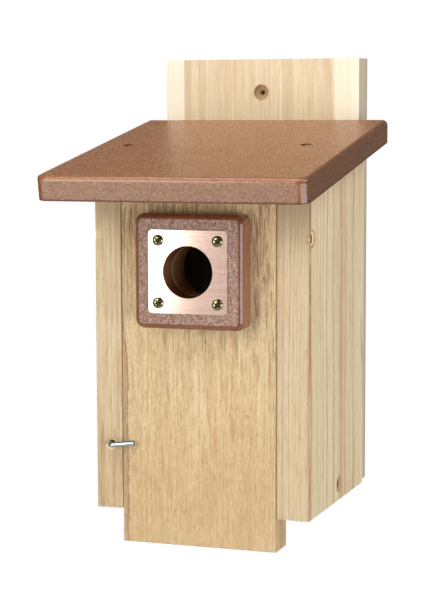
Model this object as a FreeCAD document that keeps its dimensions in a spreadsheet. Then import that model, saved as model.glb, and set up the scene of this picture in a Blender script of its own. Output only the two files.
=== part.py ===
# Birdhouse with a swinging front board, built as a parametric document.
#
# Units are millimetres. +Z is up, the front faces -Y and +X is to the viewer's right.
# The origin is the hanging-screw hole, where its axis meets the back board's rear face.
#
# Cedar boards: back, two sides, floor and a front that swings on two screws near its top.
# A recycled-plastic roof slopes down to the front. A plastic guard block and a copper
# portal plate, held by four screws, deepen the entrance. A bent nail in the left side
# turns in front of the door to keep it shut.
import FreeCAD, Part
import math
import os
import Sketcher

doc = FreeCAD.newDocument("birdhouse")
V = FreeCAD.Vector

# --------------------------------------------------------------------------------------
# Driving dimensions
# --------------------------------------------------------------------------------------
SIZES = [
    # boards
    ("back_width", 161.4), ("back_thick", 25.4), ("back_height", 337.3), ("mount_drop", 26.2),
    ("side_depth", 147.2), ("left_thick", 21.0), ("right_thick", 25.4),
    ("box_left", 82.0), ("box_right", 84.8),
    ("door_thick", 25.4), ("door_drop", 24.9), ("door_height", 266.0), ("door_gap", 0.4),
    ("floor_thick", 25.4), ("floor_gap", 0.5), ("floor_clip", 13.0),
    ("ease", 1.6), ("ease_small", 0.8),
    # roof
    ("roof_slope", 9.92), ("roof_thick", 18.0), ("roof_width", 202.2), ("roof_left", 98.4),
    ("roof_overhang", 72.6), ("roof_front_height", 250.6), ("roof_corner", 9.0), ("roof_edge", 4.2),
    ("roof_under", 0.9),
    # entrance
    ("hole_dia", 38.1), ("hole_height", 205.5), ("hole_shift", 2.0),
    ("block_size", 84.0), ("block_thick", 17.0), ("block_corner", 7.0), ("block_edge", 4.8),
    ("plate_size", 60.5), ("plate_thick", 1.0), ("plate_corner", 3.0),
    ("portal_pitch", 45.5),
    # toe-hold grooves on the inner face of the door
    ("kerf_wide", 92.0), ("kerf_high", 2.6), ("kerf_deep", 1.8), ("kerf_step", 12.0), ("kerf_count", 8),
    ("kerf_drop", 31.0),
    # hinge and latch
    ("pivot_back", 5.3), ("pivot_height", 230.0),
    ("latch_x", 70.0), ("latch_height", 73.2), ("latch_dia", 3.8), ("latch_reach", 20.2),
    ("latch_standoff", 5.2), ("latch_bend", 3.2), ("latch_deep", 30.0), ("latch_lift", 7.5),
    ("latch_flare", 2.15), ("latch_cone_dia", 9.6), ("latch_cone_deep", 3.0),
    # fasteners
    ("screw_dia", 4.0), ("screw_head", 8.0), ("screw_head_deep", 1.4), ("screw_len", 50.0),
    ("roof_screw_len", 45.0), ("portal_screw_len", 32.0), ("pan_dia", 8.3), ("pan_high", 2.3),
    ("cross_wide", 4.2), ("cross_slot", 0.95), ("cross_deep", 1.1),
    ("fit_gap", 0.05), ("shank_gap", 0.1),
    ("cup_dia", 12.0), ("cup_wall", 2.0), ("cup_cone", 2.0), ("pilot_dia", 4.0),
    ("side_cup_wall", 0.6), ("side_cup_cone", 2.4),
    ("roof_cup_dia", 8.4), ("roof_cup_deep", 5.0),
    ("roof_screw_left_x", 71.2), ("roof_screw_right_x", 67.4),
    ("roof_screw_left_v", 116.0), ("roof_screw_right_v", 121.0),
    ("floor_screw_back", 78.5), ("floor_back_x", 32.0),
    ("rear_screw_low", 62.0), ("rear_screw_step", 84.0),
    ("rear_left_x", 71.4), ("rear_right_x", 70.2),
]
sheet = doc.addObject("Spreadsheet::Sheet", "Params")
for row, (alias, value) in enumerate(SIZES, start=1):
    sheet.set("A%d" % row, alias)
    sheet.set("B%d" % row, str(value))
    sheet.setAlias("B%d" % row, alias)
doc.recompute()


class Q:
    """A number from the sheet together with the expression that gives it."""

    def __init__(self, value, text):
        self.v = float(value)
        self.t = text

    def __add__(self, o):
        o = q(o)
        return Q(self.v + o.v, "(%s + %s)" % (self.t, o.t))

    def __radd__(self, o):
        return q(o) + self

    def __sub__(self, o):
        o = q(o)
        return Q(self.v - o.v, "(%s - %s)" % (self.t, o.t))

    def __rsub__(self, o):
        return q(o) - self

    def __mul__(self, o):
        o = q(o)
        return Q(self.v * o.v, "(%s * %s)" % (self.t, o.t))

    def __rmul__(self, o):
        return q(o) * self

    def __truediv__(self, o):
        o = q(o)
        return Q(self.v / o.v, "(%s / %s)" % (self.t, o.t))

    def __neg__(self):
        return Q(-self.v, "(0 - %s)" % self.t)


def q(x):
    return x if isinstance(x, Q) else Q(x, repr(float(x)))


def qsin(a):
    return Q(math.sin(math.radians(a.v)), "sin(%s * 1 deg)" % a.t)


def qcos(a):
    return Q(math.cos(math.radians(a.v)), "cos(%s * 1 deg)" % a.t)


def qtan(a):
    return Q(math.tan(math.radians(a.v)), "tan(%s * 1 deg)" % a.t)


P = {alias: Q(float(sheet.get(alias)), "Params." + alias) for alias, _ in SIZES}

slope = P["roof_slope"]
front_y = -(P["back_thick"] + P["side_depth"])
base_z = P["mount_drop"] - P["back_height"]
door_z = base_z - P["door_drop"]
side_front_h = P["roof_front_height"] - P["roof_thick"] / qcos(slope) + P["roof_overhang"] * qtan(slope)
side_rear_h = side_front_h + P["side_depth"] * qtan(slope)
inner_width = P["box_left"] + P["box_right"] - P["left_thick"] - P["right_thick"]
inner_left = P["left_thick"] - P["box_left"]
door_width = inner_width - 2 * P["door_gap"]
door_left = inner_left + P["door_gap"]
hole_x = -P["hole_shift"]
hole_z = door_z + P["hole_height"]
pivot_y = front_y + P["pivot_back"]
pivot_z = door_z + P["pivot_height"]
latch_z = door_z + P["latch_height"]


# --------------------------------------------------------------------------------------
# Helpers
# --------------------------------------------------------------------------------------
def new_body(label):
    body = doc.addObject("PartDesign::Body", label)
    body.Label = label
    return body


def plane(body, role):
    for item in body.Origin.OriginFeatures:
        if item.Role == role:
            return item
    raise RuntimeError(role)


def new_sketch(body, name, role, base=None, angle=None, axis=None):
    """Sketch on one of the body's own origin planes, moved in that plane's frame."""
    sk = body.newObject("Sketcher::SketchObject", name)
    sk.AttachmentSupport = [(plane(body, role), "")]
    sk.MapMode = "FlatFace"
    base = [q(b) for b in (base or (0, 0, 0))]
    rot = FreeCAD.Rotation(axis or V(0, 0, 1), q(angle or 0).v)
    sk.AttachmentOffset = FreeCAD.Placement(V(*[b.v for b in base]), rot)
    for letter, b in zip("xyz", base):
        sk.setExpression("AttachmentOffset.Base." + letter, b.t)
    if isinstance(angle, Q):
        sk.setExpression("AttachmentOffset.Rotation.Angle", angle.t)
    return sk


def pin_point(sk, geo, pos, x, y, tag):
    """Tie one point to the sketch's origin by bound distances."""
    for axis_name, other, value in (("X", -2, q(x)), ("Y", -1, q(y))):
        if abs(value.v) < 1e-9:
            sk.addConstraint(Sketcher.Constraint("PointOnObject", geo, pos, other))
            continue
        if value.v > 0:
            n = sk.addConstraint(Sketcher.Constraint("Distance" + axis_name, -1, 1, geo, pos, value.v))
            text = value.t
        else:
            n = sk.addConstraint(Sketcher.Constraint("Distance" + axis_name, geo, pos, -1, 1, -value.v))
            text = (-value).t
        label = "%s_%s" % (tag, axis_name.lower())
        sk.renameConstraint(n, label)
        sk.setExpression("Constraints." + label, text)


def polygon(sk, points, tag="p"):
    pts = [(q(x), q(y)) for x, y in points]
    n = len(pts)
    first = sk.GeometryCount
    for i in range(n):
        a, b = pts[i], pts[(i + 1) % n]
        sk.addGeometry(Part.LineSegment(V(a[0].v, a[1].v, 0), V(b[0].v, b[1].v, 0)), False)
    for i in range(n):
        sk.addConstraint(Sketcher.Constraint("Coincident", first + i, 2, first + (i + 1) % n, 1))
    for i in range(n):
        pin_point(sk, first + i, 1, pts[i][0], pts[i][1], "%s%d" % (tag, i))


def circle(sk, x, y, dia, tag="c"):
    x, y, dia = q(x), q(y), q(dia)
    g = sk.addGeometry(Part.Circle(V(x.v, y.v, 0), V(0, 0, 1), dia.v / 2), False)
    n = sk.addConstraint(Sketcher.Constraint("Diameter", g, dia.v))
    sk.renameConstraint(n, tag + "_dia")
    sk.setExpression("Constraints." + tag + "_dia", dia.t)
    pin_point(sk, g, 3, x, y, tag)
    return g


def pad(body, sk, length, name, reverse=False):
    f = body.newObject("PartDesign::Pad", name)
    f.Profile = sk
    f.Length = q(length).v
    f.setExpression("Length", q(length).t)
    f.Reversed = reverse
    sk.Visibility = False
    return f


def cut_check(body, before, what):
    doc.recompute()
    after = body.Shape.Volume
    if not after < before - 1e-3:
        raise RuntimeError("%s in %s removed nothing" % (what, body.Label))


def pocket(body, sk, name, length=None, reverse=False, through=False):
    doc.recompute()
    before = body.Shape.Volume
    f = body.newObject("PartDesign::Pocket", name)
    f.Profile = sk
    f.Reversed = reverse
    if through:
        f.Type = "ThroughAll"
    else:
        f.Length = q(length).v
        f.setExpression("Length", q(length).t)
    cut_check(body, before, name)
    return f


def bore(body, name, role, base, profile, angle=0, axis=None):
    """Turned hole: profile is a list of (depth, radius) from the mouth inward. The
    sketch's own x axis is the hole's axis, so the groove turns about it."""
    doc.recompute()
    before = body.Shape.Volume
    sk = new_sketch(body, name + "_sketch", role, base, angle, axis)
    start = q(profile[0][0])
    last = q(profile[-1][0])
    pts = [(start, 0)] + [(d, r) for d, r in profile] + [(last, 0)]
    polygon(sk, pts)
    f = body.newObject("PartDesign::Groove", name)
    f.Profile = sk
    f.ReferenceAxis = (sk, ["H_Axis"])
    f.Angle = 360.0
    cut_check(body, before, name)
    return f


def edges_where(shape, test):
    names = []
    for i, e in enumerate(shape.Edges, start=1):
        if test(e):
            names.append("Edge%d" % i)
    return names


def fillet(body, name, radius, test):
    doc.recompute()
    tip = body.Tip
    names = edges_where(tip.Shape, test)
    if not names:
        raise RuntimeError("no edges for " + name)
    f = body.newObject("PartDesign::Fillet", name)
    f.Base = (tip, names)
    f.Radius = q(radius).v
    f.setExpression("Radius", q(radius).t)
    doc.recompute()
    return f


def chamfer(body, name, size, test):
    doc.recompute()
    tip = body.Tip
    f = body.newObject("PartDesign::Chamfer", name)
    f.Base = (tip, edges_where(tip.Shape, test))
    f.Size = q(size).v
    f.setExpression("Size", q(size).t)
    doc.recompute()
    return f


def mid(e):
    return e.valueAt((e.FirstParameter + e.LastParameter) / 2)


def along(e, letter):
    """True for a straight edge parallel to an axis."""
    a, b = e.Vertexes[0].Point, e.Vertexes[-1].Point
    d = b - a
    if d.Length < 1e-6:
        return False
    return abs(abs(getattr(d, letter)) / d.Length - 1) < 1e-6


def near(a, b, tol=1e-3):
    return abs(a - b) < tol


def place(obj, base, axis=None, angle=0):
    base = [q(b) for b in base]
    obj.Placement = FreeCAD.Placement(V(*[b.v for b in base]), FreeCAD.Rotation(axis or V(0, 0, 1), q(angle).v))
    for letter, b in zip("xyz", base):
        obj.setExpression("Placement.Base." + letter, b.t)
    if isinstance(angle, Q):
        obj.setExpression("Placement.Rotation.Angle", angle.t)


def cup_profile(depth):
    """Screw cup: straight wall, cone to the shank hole, then the shank hole."""
    r0 = P["cup_dia"] / 2
    r1 = P["pilot_dia"] / 2 + P["fit_gap"]
    return [(0, r0), (P["side_cup_wall"], r0 - 0.3), (P["side_cup_wall"] + P["side_cup_cone"], r1), (depth, r1)]


def straight_profile(start, depth, radius):
    return [(start, radius), (depth, radius)]


# --------------------------------------------------------------------------------------
# Back board: local x 0..width, y 0 (rear) to -thickness (front), z from the lower end
# --------------------------------------------------------------------------------------
back = new_body("back_board")
sk = new_sketch(back, "back_outline", "XZ_Plane")
polygon(sk, [(0, 0), (P["back_width"], 0), (P["back_width"], P["back_height"]), (0, P["back_height"])])
pad(back, sk, P["back_thick"], "back_pad")
fillet(back, "back_ease", P["ease_small"], lambda e: along(e, "z"))
half_back = P["back_width"] / 2
screw_r = P["screw_dia"] / 2
# hanging-screw hole with its cup in the front face, drilled towards +Y
r_hang = P["pilot_dia"] / 2
bore(back, "hanging_hole", "XY_Plane",
     (half_back, -P["back_thick"], P["back_height"] - P["mount_drop"]),
     [(0, P["cup_dia"] / 2), (P["cup_wall"], P["cup_dia"] / 2 - 0.3),
      (P["cup_wall"] + P["cup_cone"], r_hang), (P["back_thick"], r_hang)],
     angle=90)


def flush_profile(depth):
    """Countersink for a flush head, then a shank hole."""
    gap = P["fit_gap"]
    head = P["screw_head"] / 2
    return [(0, head + gap), (0.4, head + gap), (P["screw_head_deep"] + 0.4 + 0.0, P["screw_dia"] / 2 + gap),
            (depth, P["screw_dia"] / 2 + gap)]


rear_z = [P["rear_screw_low"] + P["rear_screw_step"] * i for i in range(3)]
for side, x in (("left", half_back - P["rear_left_x"]), ("right", half_back + P["rear_right_x"])):
    for i, z in enumerate(rear_z):
        bore(back, "rear_hole_%s_%d" % (side, i + 1), "XY_Plane", (x, 0, z),
             flush_profile(P["back_thick"]), angle=-90)
for i, sgn in enumerate((-1, 1)):
    bore(back, "rear_floor_hole_%d" % (i + 1), "XY_Plane",
         (half_back + sgn * P["floor_back_x"], 0, P["floor_thick"] / 2),
         flush_profile(P["back_thick"]), angle=-90)
place(back, (-half_back, 0, base_z))

# --------------------------------------------------------------------------------------
# Side boards: local y 0 is the front edge, the top follows the roof
# --------------------------------------------------------------------------------------


def side_board(label, thick, outer_is_low_x, left_x, roof_screw_x, roof_v, with_latch):
    b = new_body(label)
    sk = new_sketch(b, label + "_outline", "YZ_Plane")
    polygon(sk, [(0, 0), (P["side_depth"], 0), (P["side_depth"], side_rear_h), (0, side_front_h)])
    pad(b, sk, thick, label + "_pad")
    outer = 0.0 if outer_is_low_x else thick.v
    fillet(b, label + "_ease", P["ease"],
           lambda e: along(e, "z") and near(mid(e).x, outer) and near(mid(e).y, 0))
    fillet(b, label + "_ease_inner", P["ease_small"],
           lambda e: along(e, "z") and near(mid(e).x, thick.v - outer) and near(mid(e).y, 0))
    fillet(b, label + "_ease_foot", P["ease_small"],
           lambda e: near(mid(e).z, 0) and near(mid(e).x, outer) and along(e, "y"))
    angle = 0 if outer_is_low_x else 180
    x_outer = q(0) if outer_is_low_x else thick
    # cups and shank holes for the hinge screw and the floor screw, drilled inward
    z_pivot = P["pivot_height"] - P["door_drop"]
    bore(b, label + "_pivot_hole", "XY_Plane", (x_outer, P["pivot_back"], z_pivot),
         cup_profile(thick), angle=angle)
    bore(b, label + "_floor_hole", "XY_Plane", (x_outer, P["floor_screw_back"], P["floor_thick"] / 2),
         cup_profile(thick), angle=angle)
    # blind holes for the screws that come through the back board
    reach = P["screw_len"] - P["back_thick"] + 1.0
    x_rear = (-P["rear_left_x"] if outer_is_low_x else P["rear_right_x"]) - left_x
    for i, z in enumerate(rear_z):
        bore(b, "%s_rear_pilot_%d" % (label, i + 1), "XY_Plane", (x_rear, P["side_depth"], z),
             straight_profile(0, reach, screw_r + P["fit_gap"]), angle=-90)
    # blind hole for the roof screw, square to the roof
    y_under = roof_v * qcos(slope) - P["roof_overhang"] + P["roof_thick"] * qsin(slope)
    z_under = side_front_h + y_under * qtan(slope)
    reach = P["roof_screw_len"] + P["roof_cup_deep"] - P["roof_thick"] + 1.0
    bore(b, label + "_roof_pilot", "YZ_Plane", (y_under, z_under, roof_screw_x - left_x),
         straight_profile(-3, reach, screw_r + P["fit_gap"]), angle=slope - 90)
    if with_latch:
        r = P["latch_dia"] / 2 + P["fit_gap"]
        bore(b, label + "_latch_hole", "XY_Plane",
             (P["box_left"] - P["latch_x"], 0, P["latch_height"] - P["door_drop"]),
             [(0, P["latch_cone_dia"] / 2), (P["latch_cone_deep"], r), (P["latch_deep"] + 2.0, r)],
             angle=90)
    place(b, (left_x, front_y, base_z))
    return b


left = side_board("left_side", P["left_thick"], True, -P["box_left"],
                  -P["roof_screw_left_x"], P["roof_screw_left_v"], True)
right = side_board("right_side", P["right_thick"], False, P["box_right"] - P["right_thick"],
                   P["roof_screw_right_x"], P["roof_screw_right_v"], False)

# --------------------------------------------------------------------------------------
# Floor: between the sides, its corners clipped so that water drains
# --------------------------------------------------------------------------------------
floor = new_body("floor_board")
floor_depth = P["side_depth"] - P["door_thick"] - P["floor_gap"]
sk = new_sketch(floor, "floor_outline", "XY_Plane")
c = P["floor_clip"]
polygon(sk, [(c, 0), (inner_width - c, 0), (inner_width, c), (inner_width, floor_depth - c),
             (inner_width - c, floor_depth), (c, floor_depth), (0, floor_depth - c), (0, c)])
pad(floor, sk, P["floor_thick"], "floor_pad")
side_y = P["floor_screw_back"] - P["door_thick"] - P["floor_gap"]
mid_z = P["floor_thick"] / 2
cup_depth = P["side_cup_wall"] + P["side_cup_cone"]
for side, x, ang, thick in (("left", q(0), 0, P["left_thick"]), ("right", inner_width, 180, P["right_thick"])):
    bore(floor, "floor_pilot_" + side, "XY_Plane", (x, side_y, mid_z),
         straight_profile(0, P["screw_len"] + cup_depth - thick, screw_r + P["fit_gap"]), angle=ang)
floor_mid = (inner_width / 2) + inner_left
for i, sgn in enumerate((-1, 1)):
    bore(floor, "floor_rear_pilot_%d" % (i + 1), "XY_Plane",
         (sgn * P["floor_back_x"] - inner_left, floor_depth, mid_z),
         straight_profile(0, P["screw_len"] - P["back_thick"] + 1.0, screw_r + P["fit_gap"]), angle=-90)
place(floor, (inner_left, front_y + P["door_thick"] + P["floor_gap"], base_z))

# --------------------------------------------------------------------------------------
# Roof slab: local y runs up the slope, z is square to it, the rear end is plumb
# --------------------------------------------------------------------------------------
roof = new_body("roof")
run = P["side_depth"] + P["roof_overhang"]
y_top = run / qcos(slope)
y_bot = (run - P["roof_thick"] * qsin(slope)) / qcos(slope)
sk = new_sketch(roof, "roof_section", "YZ_Plane")
polygon(sk, [(0, 0), (y_bot, 0), (y_top, P["roof_thick"]), (0, P["roof_thick"])])
pad(roof, sk, P["roof_width"], "roof_pad")
fillet(roof, "roof_corners", P["roof_corner"], lambda e: along(e, "z") and near(mid(e).y, 0))
fillet(roof, "roof_top_edge", P["roof_edge"],
       lambda e: near(mid(e).z, P["roof_thick"].v) and mid(e).y < y_top.v - 1
       and near(e.Vertexes[0].Z, e.Vertexes[-1].Z))
fillet(roof, "roof_under_edge", P["roof_under"],
       lambda e: near(mid(e).z, 0) and mid(e).y < y_bot.v - 1)
for side, x, v in (("left", P["roof_left"] - P["roof_screw_left_x"], P["roof_screw_left_v"]),
                   ("right", P["roof_left"] + P["roof_screw_right_x"], P["roof_screw_right_v"])):
    r0 = P["roof_cup_dia"] / 2
    r1 = P["screw_dia"] / 2 + P["shank_gap"]
    seat = P["roof_cup_deep"]
    bore(roof, "roof_screw_hole_" + side, "XZ_Plane", (x, P["roof_thick"], -v),
         [(0, r0), (seat + 0.4, r0), (seat + 0.4 + P["screw_head_deep"], r1), (P["roof_thick"], r1)],
         angle=-90)
roof_y0 = front_y - P["roof_overhang"]
roof_z0 = base_z + P["roof_front_height"]
place(roof, (-P["roof_left"], roof_y0 + P["roof_thick"] * qsin(slope), roof_z0 - P["roof_thick"] * qcos(slope)),
      V(1, 0, 0), slope)

# --------------------------------------------------------------------------------------
# Front board (the door): local y 0 is its outer face, z from its lower end
# --------------------------------------------------------------------------------------
door = new_body("front_door")
sk = new_sketch(door, "door_outline", "XZ_Plane")
polygon(sk, [(0, 0), (door_width, 0), (door_width, P["door_height"]), (0, P["door_height"])])
pad(door, sk, P["door_thick"], "door_pad", reverse=True)
fillet(door, "door_ease", P["ease_small"], lambda e: near(mid(e).y, 0) and (along(e, "z") or near(mid(e).z, 0)))
hx = hole_x - door_left
sk = new_sketch(door, "door_hole_sketch", "XZ_Plane")
circle(sk, hx, P["hole_height"], P["hole_dia"])
f = door.newObject("PartDesign::Pocket", "door_hole")
doc.recompute()
vol = door.Shape.Volume
f.Profile = sk
f.Type = "ThroughAll"
f.Midplane = True
cut_check(door, vol, "door_hole")
# holes for the portal screws, from the outer face
half_pitch = P["portal_pitch"] / 2
portal_reach = P["portal_screw_len"] - P["block_thick"] - P["plate_thick"] + 1.0
corners = [(-1, 1), (1, 1), (-1, -1), (1, -1)]
for i, (sx, sz) in enumerate(corners):
    bore(door, "door_portal_pilot_%d" % (i + 1), "XY_Plane",
         (hx + sx * half_pitch, 0, P["hole_height"] + sz * half_pitch),
         straight_profile(0, portal_reach, screw_r + P["fit_gap"]), angle=90)
# running holes for the hinge screws in both edges
for side, x, ang, thick in (("left", q(0), 0, P["left_thick"]), ("right", door_width, 180, P["right_thick"])):
    deep = P["screw_len"] + cup_depth - thick - P["door_gap"] + 1.0
    bore(door, "door_pivot_" + side, "XY_Plane", (x, P["pivot_back"], P["pivot_height"]),
         straight_profile(0, deep, screw_r + P["fit_gap"]), angle=ang)
# toe-hold grooves across the inner face, below the entrance
doc.recompute()
vol = door.Shape.Volume
sk = new_sketch(door, "kerf_sketch", "XZ_Plane", (0, 0, -P["door_thick"]))
kz = P["hole_height"] - P["kerf_drop"]
kx = hx - P["kerf_wide"] / 2
polygon(sk, [(kx, kz), (kx + P["kerf_wide"], kz), (kx + P["kerf_wide"], kz + P["kerf_high"]), (kx, kz + P["kerf_high"])])
kerf = door.newObject("PartDesign::Pocket", "kerf")
kerf.Profile = sk
kerf.Length = P["kerf_deep"].v
kerf.setExpression("Length", P["kerf_deep"].t)
kerf.Reversed = True
doc.recompute()
if not door.Shape.Volume < vol - 1:
    kerf.Reversed = False
    doc.recompute()
cut_check(door, vol, "kerf")
vol = door.Shape.Volume
rows = door.newObject("PartDesign::LinearPattern", "kerf_rows")
rows.Originals = [kerf]
rows.Direction = (sk, ["V_Axis"])
rows.Reversed = True
rows.Length = (P["kerf_step"] * (P["kerf_count"] - 1)).v
rows.setExpression("Length", (P["kerf_step"] * (P["kerf_count"] - 1)).t)
rows.Occurrences = int(P["kerf_count"].v)
door.Tip = rows
cut_check(door, vol, "kerf_rows")
place(door, (door_left, front_y, door_z))

# --------------------------------------------------------------------------------------
# Guard block and copper portal: local y 0 is the rear face, the front is towards -y
# --------------------------------------------------------------------------------------


def square_plate(label, size, thick, corner):
    b = new_body(label)
    sk = new_sketch(b, label + "_outline", "XZ_Plane")
    polygon(sk, [(0, 0), (size, 0), (size, size), (0, size)])
    pad(b, sk, thick, label + "_pad")
    fillet(b, label + "_corners", corner, lambda e: along(e, "y"))
    return b


def plate_holes(b, size, thick, dia, radius):
    sk = new_sketch(b, b.Label + "_hole_sketch", "XZ_Plane")
    circle(sk, size / 2, size / 2, dia)
    doc.recompute()
    vol = b.Shape.Volume
    f = b.newObject("PartDesign::Pocket", b.Label + "_hole")
    f.Profile = sk
    f.Type = "ThroughAll"
    f.Midplane = True
    cut_check(b, vol, b.Label + "_hole")
    for i, (sx, sz) in enumerate(corners):
        bore(b, "%s_screw_hole_%d" % (b.Label, i + 1), "XY_Plane",
             (size / 2 + sx * half_pitch, 0, size / 2 + sz * half_pitch),
             straight_profile(0, thick, radius), angle=-90)


clear_r = P["screw_dia"] / 2 + P["shank_gap"]
block = square_plate("entrance_block", P["block_size"], P["block_thick"], P["block_corner"])
fillet(block, "block_front_edge", P["block_edge"],
       lambda e: near(mid(e).y, -P["block_thick"].v) and near(e.Vertexes[0].Y, e.Vertexes[-1].Y))
plate_holes(block, P["block_size"], P["block_thick"], P["hole_dia"], clear_r)
place(block, (hole_x - P["block_size"] / 2, front_y, hole_z - P["block_size"] / 2))

portal = square_plate("copper_portal", P["plate_size"], P["plate_thick"], P["plate_corner"])
plate_holes(portal, P["plate_size"], P["plate_thick"], P["hole_dia"], clear_r)
portal_y = front_y - P["block_thick"]
place(portal, (hole_x - P["plate_size"] / 2, portal_y, hole_z - P["plate_size"] / 2))

# --------------------------------------------------------------------------------------
# Screws: local z runs from the top of the head towards the point
# --------------------------------------------------------------------------------------


def cross_recess(b, tag):
    w, s = P["cross_wide"] / 2, P["cross_slot"] / 2
    sk = new_sketch(b, tag + "_cross", "XY_Plane")
    polygon(sk, [(-w, -s), (-s, -s), (-s, -w), (s, -w), (s, -s), (w, -s),
                 (w, s), (s, s), (s, w), (-s, w), (-s, s), (-w, s)])
    pocket(b, sk, tag + "_recess", length=P["cross_deep"], reverse=True)


def screw(tag, length, kind):
    b = new_body(tag)
    sk = new_sketch(b, tag + "_profile", "XZ_Plane")
    r = P["screw_dia"] / 2
    if kind == "pan":
        R, high = P["pan_dia"] / 2, P["pan_high"]
        pts = [(0, 0), (R * 0.34, high * 0.04), (R * 0.62, high * 0.15), (R * 0.84, high * 0.36),
               (R * 0.96, high * 0.62), (R, high * 0.86), (R * 0.98, high), (r, high)]
        under = high
    else:
        R = P["screw_head"] / 2
        pts = [(0, 0), (R - 0.15, 0), (R, 0.15), (R, 0.4), (r, P["screw_head_deep"] + 0.4)]
        under = q(0)
    total = length + under
    pts += [(r, total - 4.0), (r * 0.28, total - 0.2), (0, total)]
    polygon(sk, pts)
    f = b.newObject("PartDesign::Revolution", tag + "_turned")
    f.Profile = sk
    f.ReferenceAxis = (sk, ["V_Axis"])
    f.Angle = 360.0
    doc.recompute()
    cross_recess(b, tag)
    return b


def group(label, items):
    comp = doc.addObject("Part::Compound", label)
    comp.Label = label
    comp.Links = items
    return comp


Y_IN = (V(1, 0, 0), -90)    # local +z to +y
Y_OUT = (V(1, 0, 0), 90)    # local +z to -y
X_IN = (V(0, 1, 0), 90)     # local +z to +x
X_OUT = (V(0, 1, 0), -90)   # local +z to -x

items = []
for i, (sx, sz) in enumerate(corners):
    b = screw("portal_screw_%d" % (i + 1), P["portal_screw_len"], "pan")
    place(b, (hole_x + sx * half_pitch, portal_y - P["plate_thick"] - P["pan_high"], hole_z + sz * half_pitch), *Y_IN)
    items.append(b)
portal_screws = group("portal_screws", items)

head_sink = cup_depth - P["screw_head_deep"] - 0.4
left_pivot = screw("left_pivot_screw", P["screw_len"] + P["screw_head_deep"] + 0.4, "flat")
place(left_pivot, (-P["box_left"] + head_sink, pivot_y, pivot_z), *X_IN)
right_pivot = screw("right_pivot_screw", P["screw_len"] + P["screw_head_deep"] + 0.4, "flat")
place(right_pivot, (P["box_right"] - head_sink, pivot_y, pivot_z), *X_OUT)

items = []
floor_y = front_y + P["floor_screw_back"]
for side, x, turn in (("left", -P["box_left"] + head_sink, X_IN), ("right", P["box_right"] - head_sink, X_OUT)):
    b = screw("floor_screw_" + side, P["screw_len"], "flat")
    place(b, (x, floor_y, base_z + mid_z), *turn)
    items.append(b)
floor_side_screws = group("floor_side_screws", items)

items = []
for i, sgn in enumerate((-1, 1)):
    b = screw("floor_rear_screw_%d" % (i + 1), P["screw_len"], "flat")
    place(b, (sgn * P["floor_back_x"], 0, base_z + mid_z), *Y_OUT)
    items.append(b)
floor_back_screws = group("floor_back_screws", items)

rear_groups = []
for side, x in (("left", -P["rear_left_x"]), ("right", P["rear_right_x"])):
    items = []
    for i, z in enumerate(rear_z):
        b = screw("%s_rear_screw_%d" % (side, i + 1), P["screw_len"], "flat")
        place(b, (x, 0, base_z + z), *Y_OUT)
        items.append(b)
    rear_groups.append(group(side + "_back_screws", items))

items = []
for side, x, v in (("left", -P["roof_screw_left_x"], P["roof_screw_left_v"]),
                   ("right", P["roof_screw_right_x"], P["roof_screw_right_v"])):
    b = screw("roof_screw_" + side, P["roof_screw_len"], "flat")
    deep = P["roof_cup_deep"]
    # the seat lies below the roof's top, measured square to it
    y = roof_y0 + v * qcos(slope) + deep * qsin(slope)
    z = roof_z0 + v * qsin(slope) - deep * qcos(slope)
    place(b, (x, y, z), V(1, 0, 0), slope - 180)
    items.append(b)
roof_screws = group("roof_screws", items)

# --------------------------------------------------------------------------------------
# Latch: a round nail bent at a right angle. Its shank turns in the left side's front
# edge and its leg lies across the door. Local y 0 is the side's front edge.
# --------------------------------------------------------------------------------------
latch = new_body("latch_nail")
path = new_sketch(latch, "latch_path", "XY_Plane")
deep, bend, off, reach = P["latch_deep"], P["latch_bend"], P["latch_standoff"], P["latch_reach"]
straight = off - bend
g0 = path.addGeometry(Part.LineSegment(V(0, deep.v, 0), V(0, -straight.v, 0)), False)
g1 = path.addGeometry(Part.Arc(V(0, -straight.v, 0),
                               V(bend.v * (1 - math.cos(math.pi / 4)), -straight.v - bend.v * math.sin(math.pi / 4), 0),
                               V(bend.v, -off.v, 0)), False)
g2 = path.addGeometry(Part.LineSegment(V(bend.v, -off.v, 0), V(reach.v, -off.v, 0)), False)
arc_ends = (1, 2) if (path.getPoint(g1, 1) - V(0, -straight.v, 0)).Length < 1e-6 else (2, 1)
path.addConstraint(Sketcher.Constraint("Tangent", g0, 2, g1, arc_ends[0]))
path.addConstraint(Sketcher.Constraint("Tangent", g1, arc_ends[1], g2, 1))
path.addConstraint(Sketcher.Constraint("Vertical", g0))
path.addConstraint(Sketcher.Constraint("Horizontal", g2))
pin_point(path, g0, 1, q(0), deep, "deep")
pin_point(path, g2, 2, reach, -off, "tip")
n = path.addConstraint(Sketcher.Constraint("Radius", g1, bend.v))
path.renameConstraint(n, "bend")
path.setExpression("Constraints.bend", bend.t)
ring = new_sketch(latch, "latch_section", "XZ_Plane", (0, 0, -deep))
circle(ring, 0, 0, P["latch_dia"])
doc.recompute()
pipe = latch.newObject("PartDesign::AdditivePipe", "latch_wire")
pipe.Profile = ring
pipe.Spine = (path, ["Edge1", "Edge2", "Edge3"])
doc.recompute()
# the leg's end is slightly flared where it was struck
flare = new_sketch(latch, "latch_flare_sketch", "XY_Plane", (0, -off, 0))
polygon(flare, [(reach - 4.5, 0), (reach - 4.5, P["latch_dia"] / 2 - 0.02), (reach - 2.2, P["latch_dia"] / 2 + 0.05),
                (reach - 0.5, P["latch_flare"]), (reach - 0.1, P["latch_flare"]), (reach + 0.15, P["latch_flare"] - 0.25),
                (reach + 0.15, 0)])
f = latch.newObject("PartDesign::Revolution", "latch_end")
f.Profile = flare
f.ReferenceAxis = (flare, ["H_Axis"])
f.Angle = 360.0
doc.recompute()
place(latch, (-P["latch_x"], front_y, latch_z), V(0, 1, 0), -P["latch_lift"])

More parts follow.
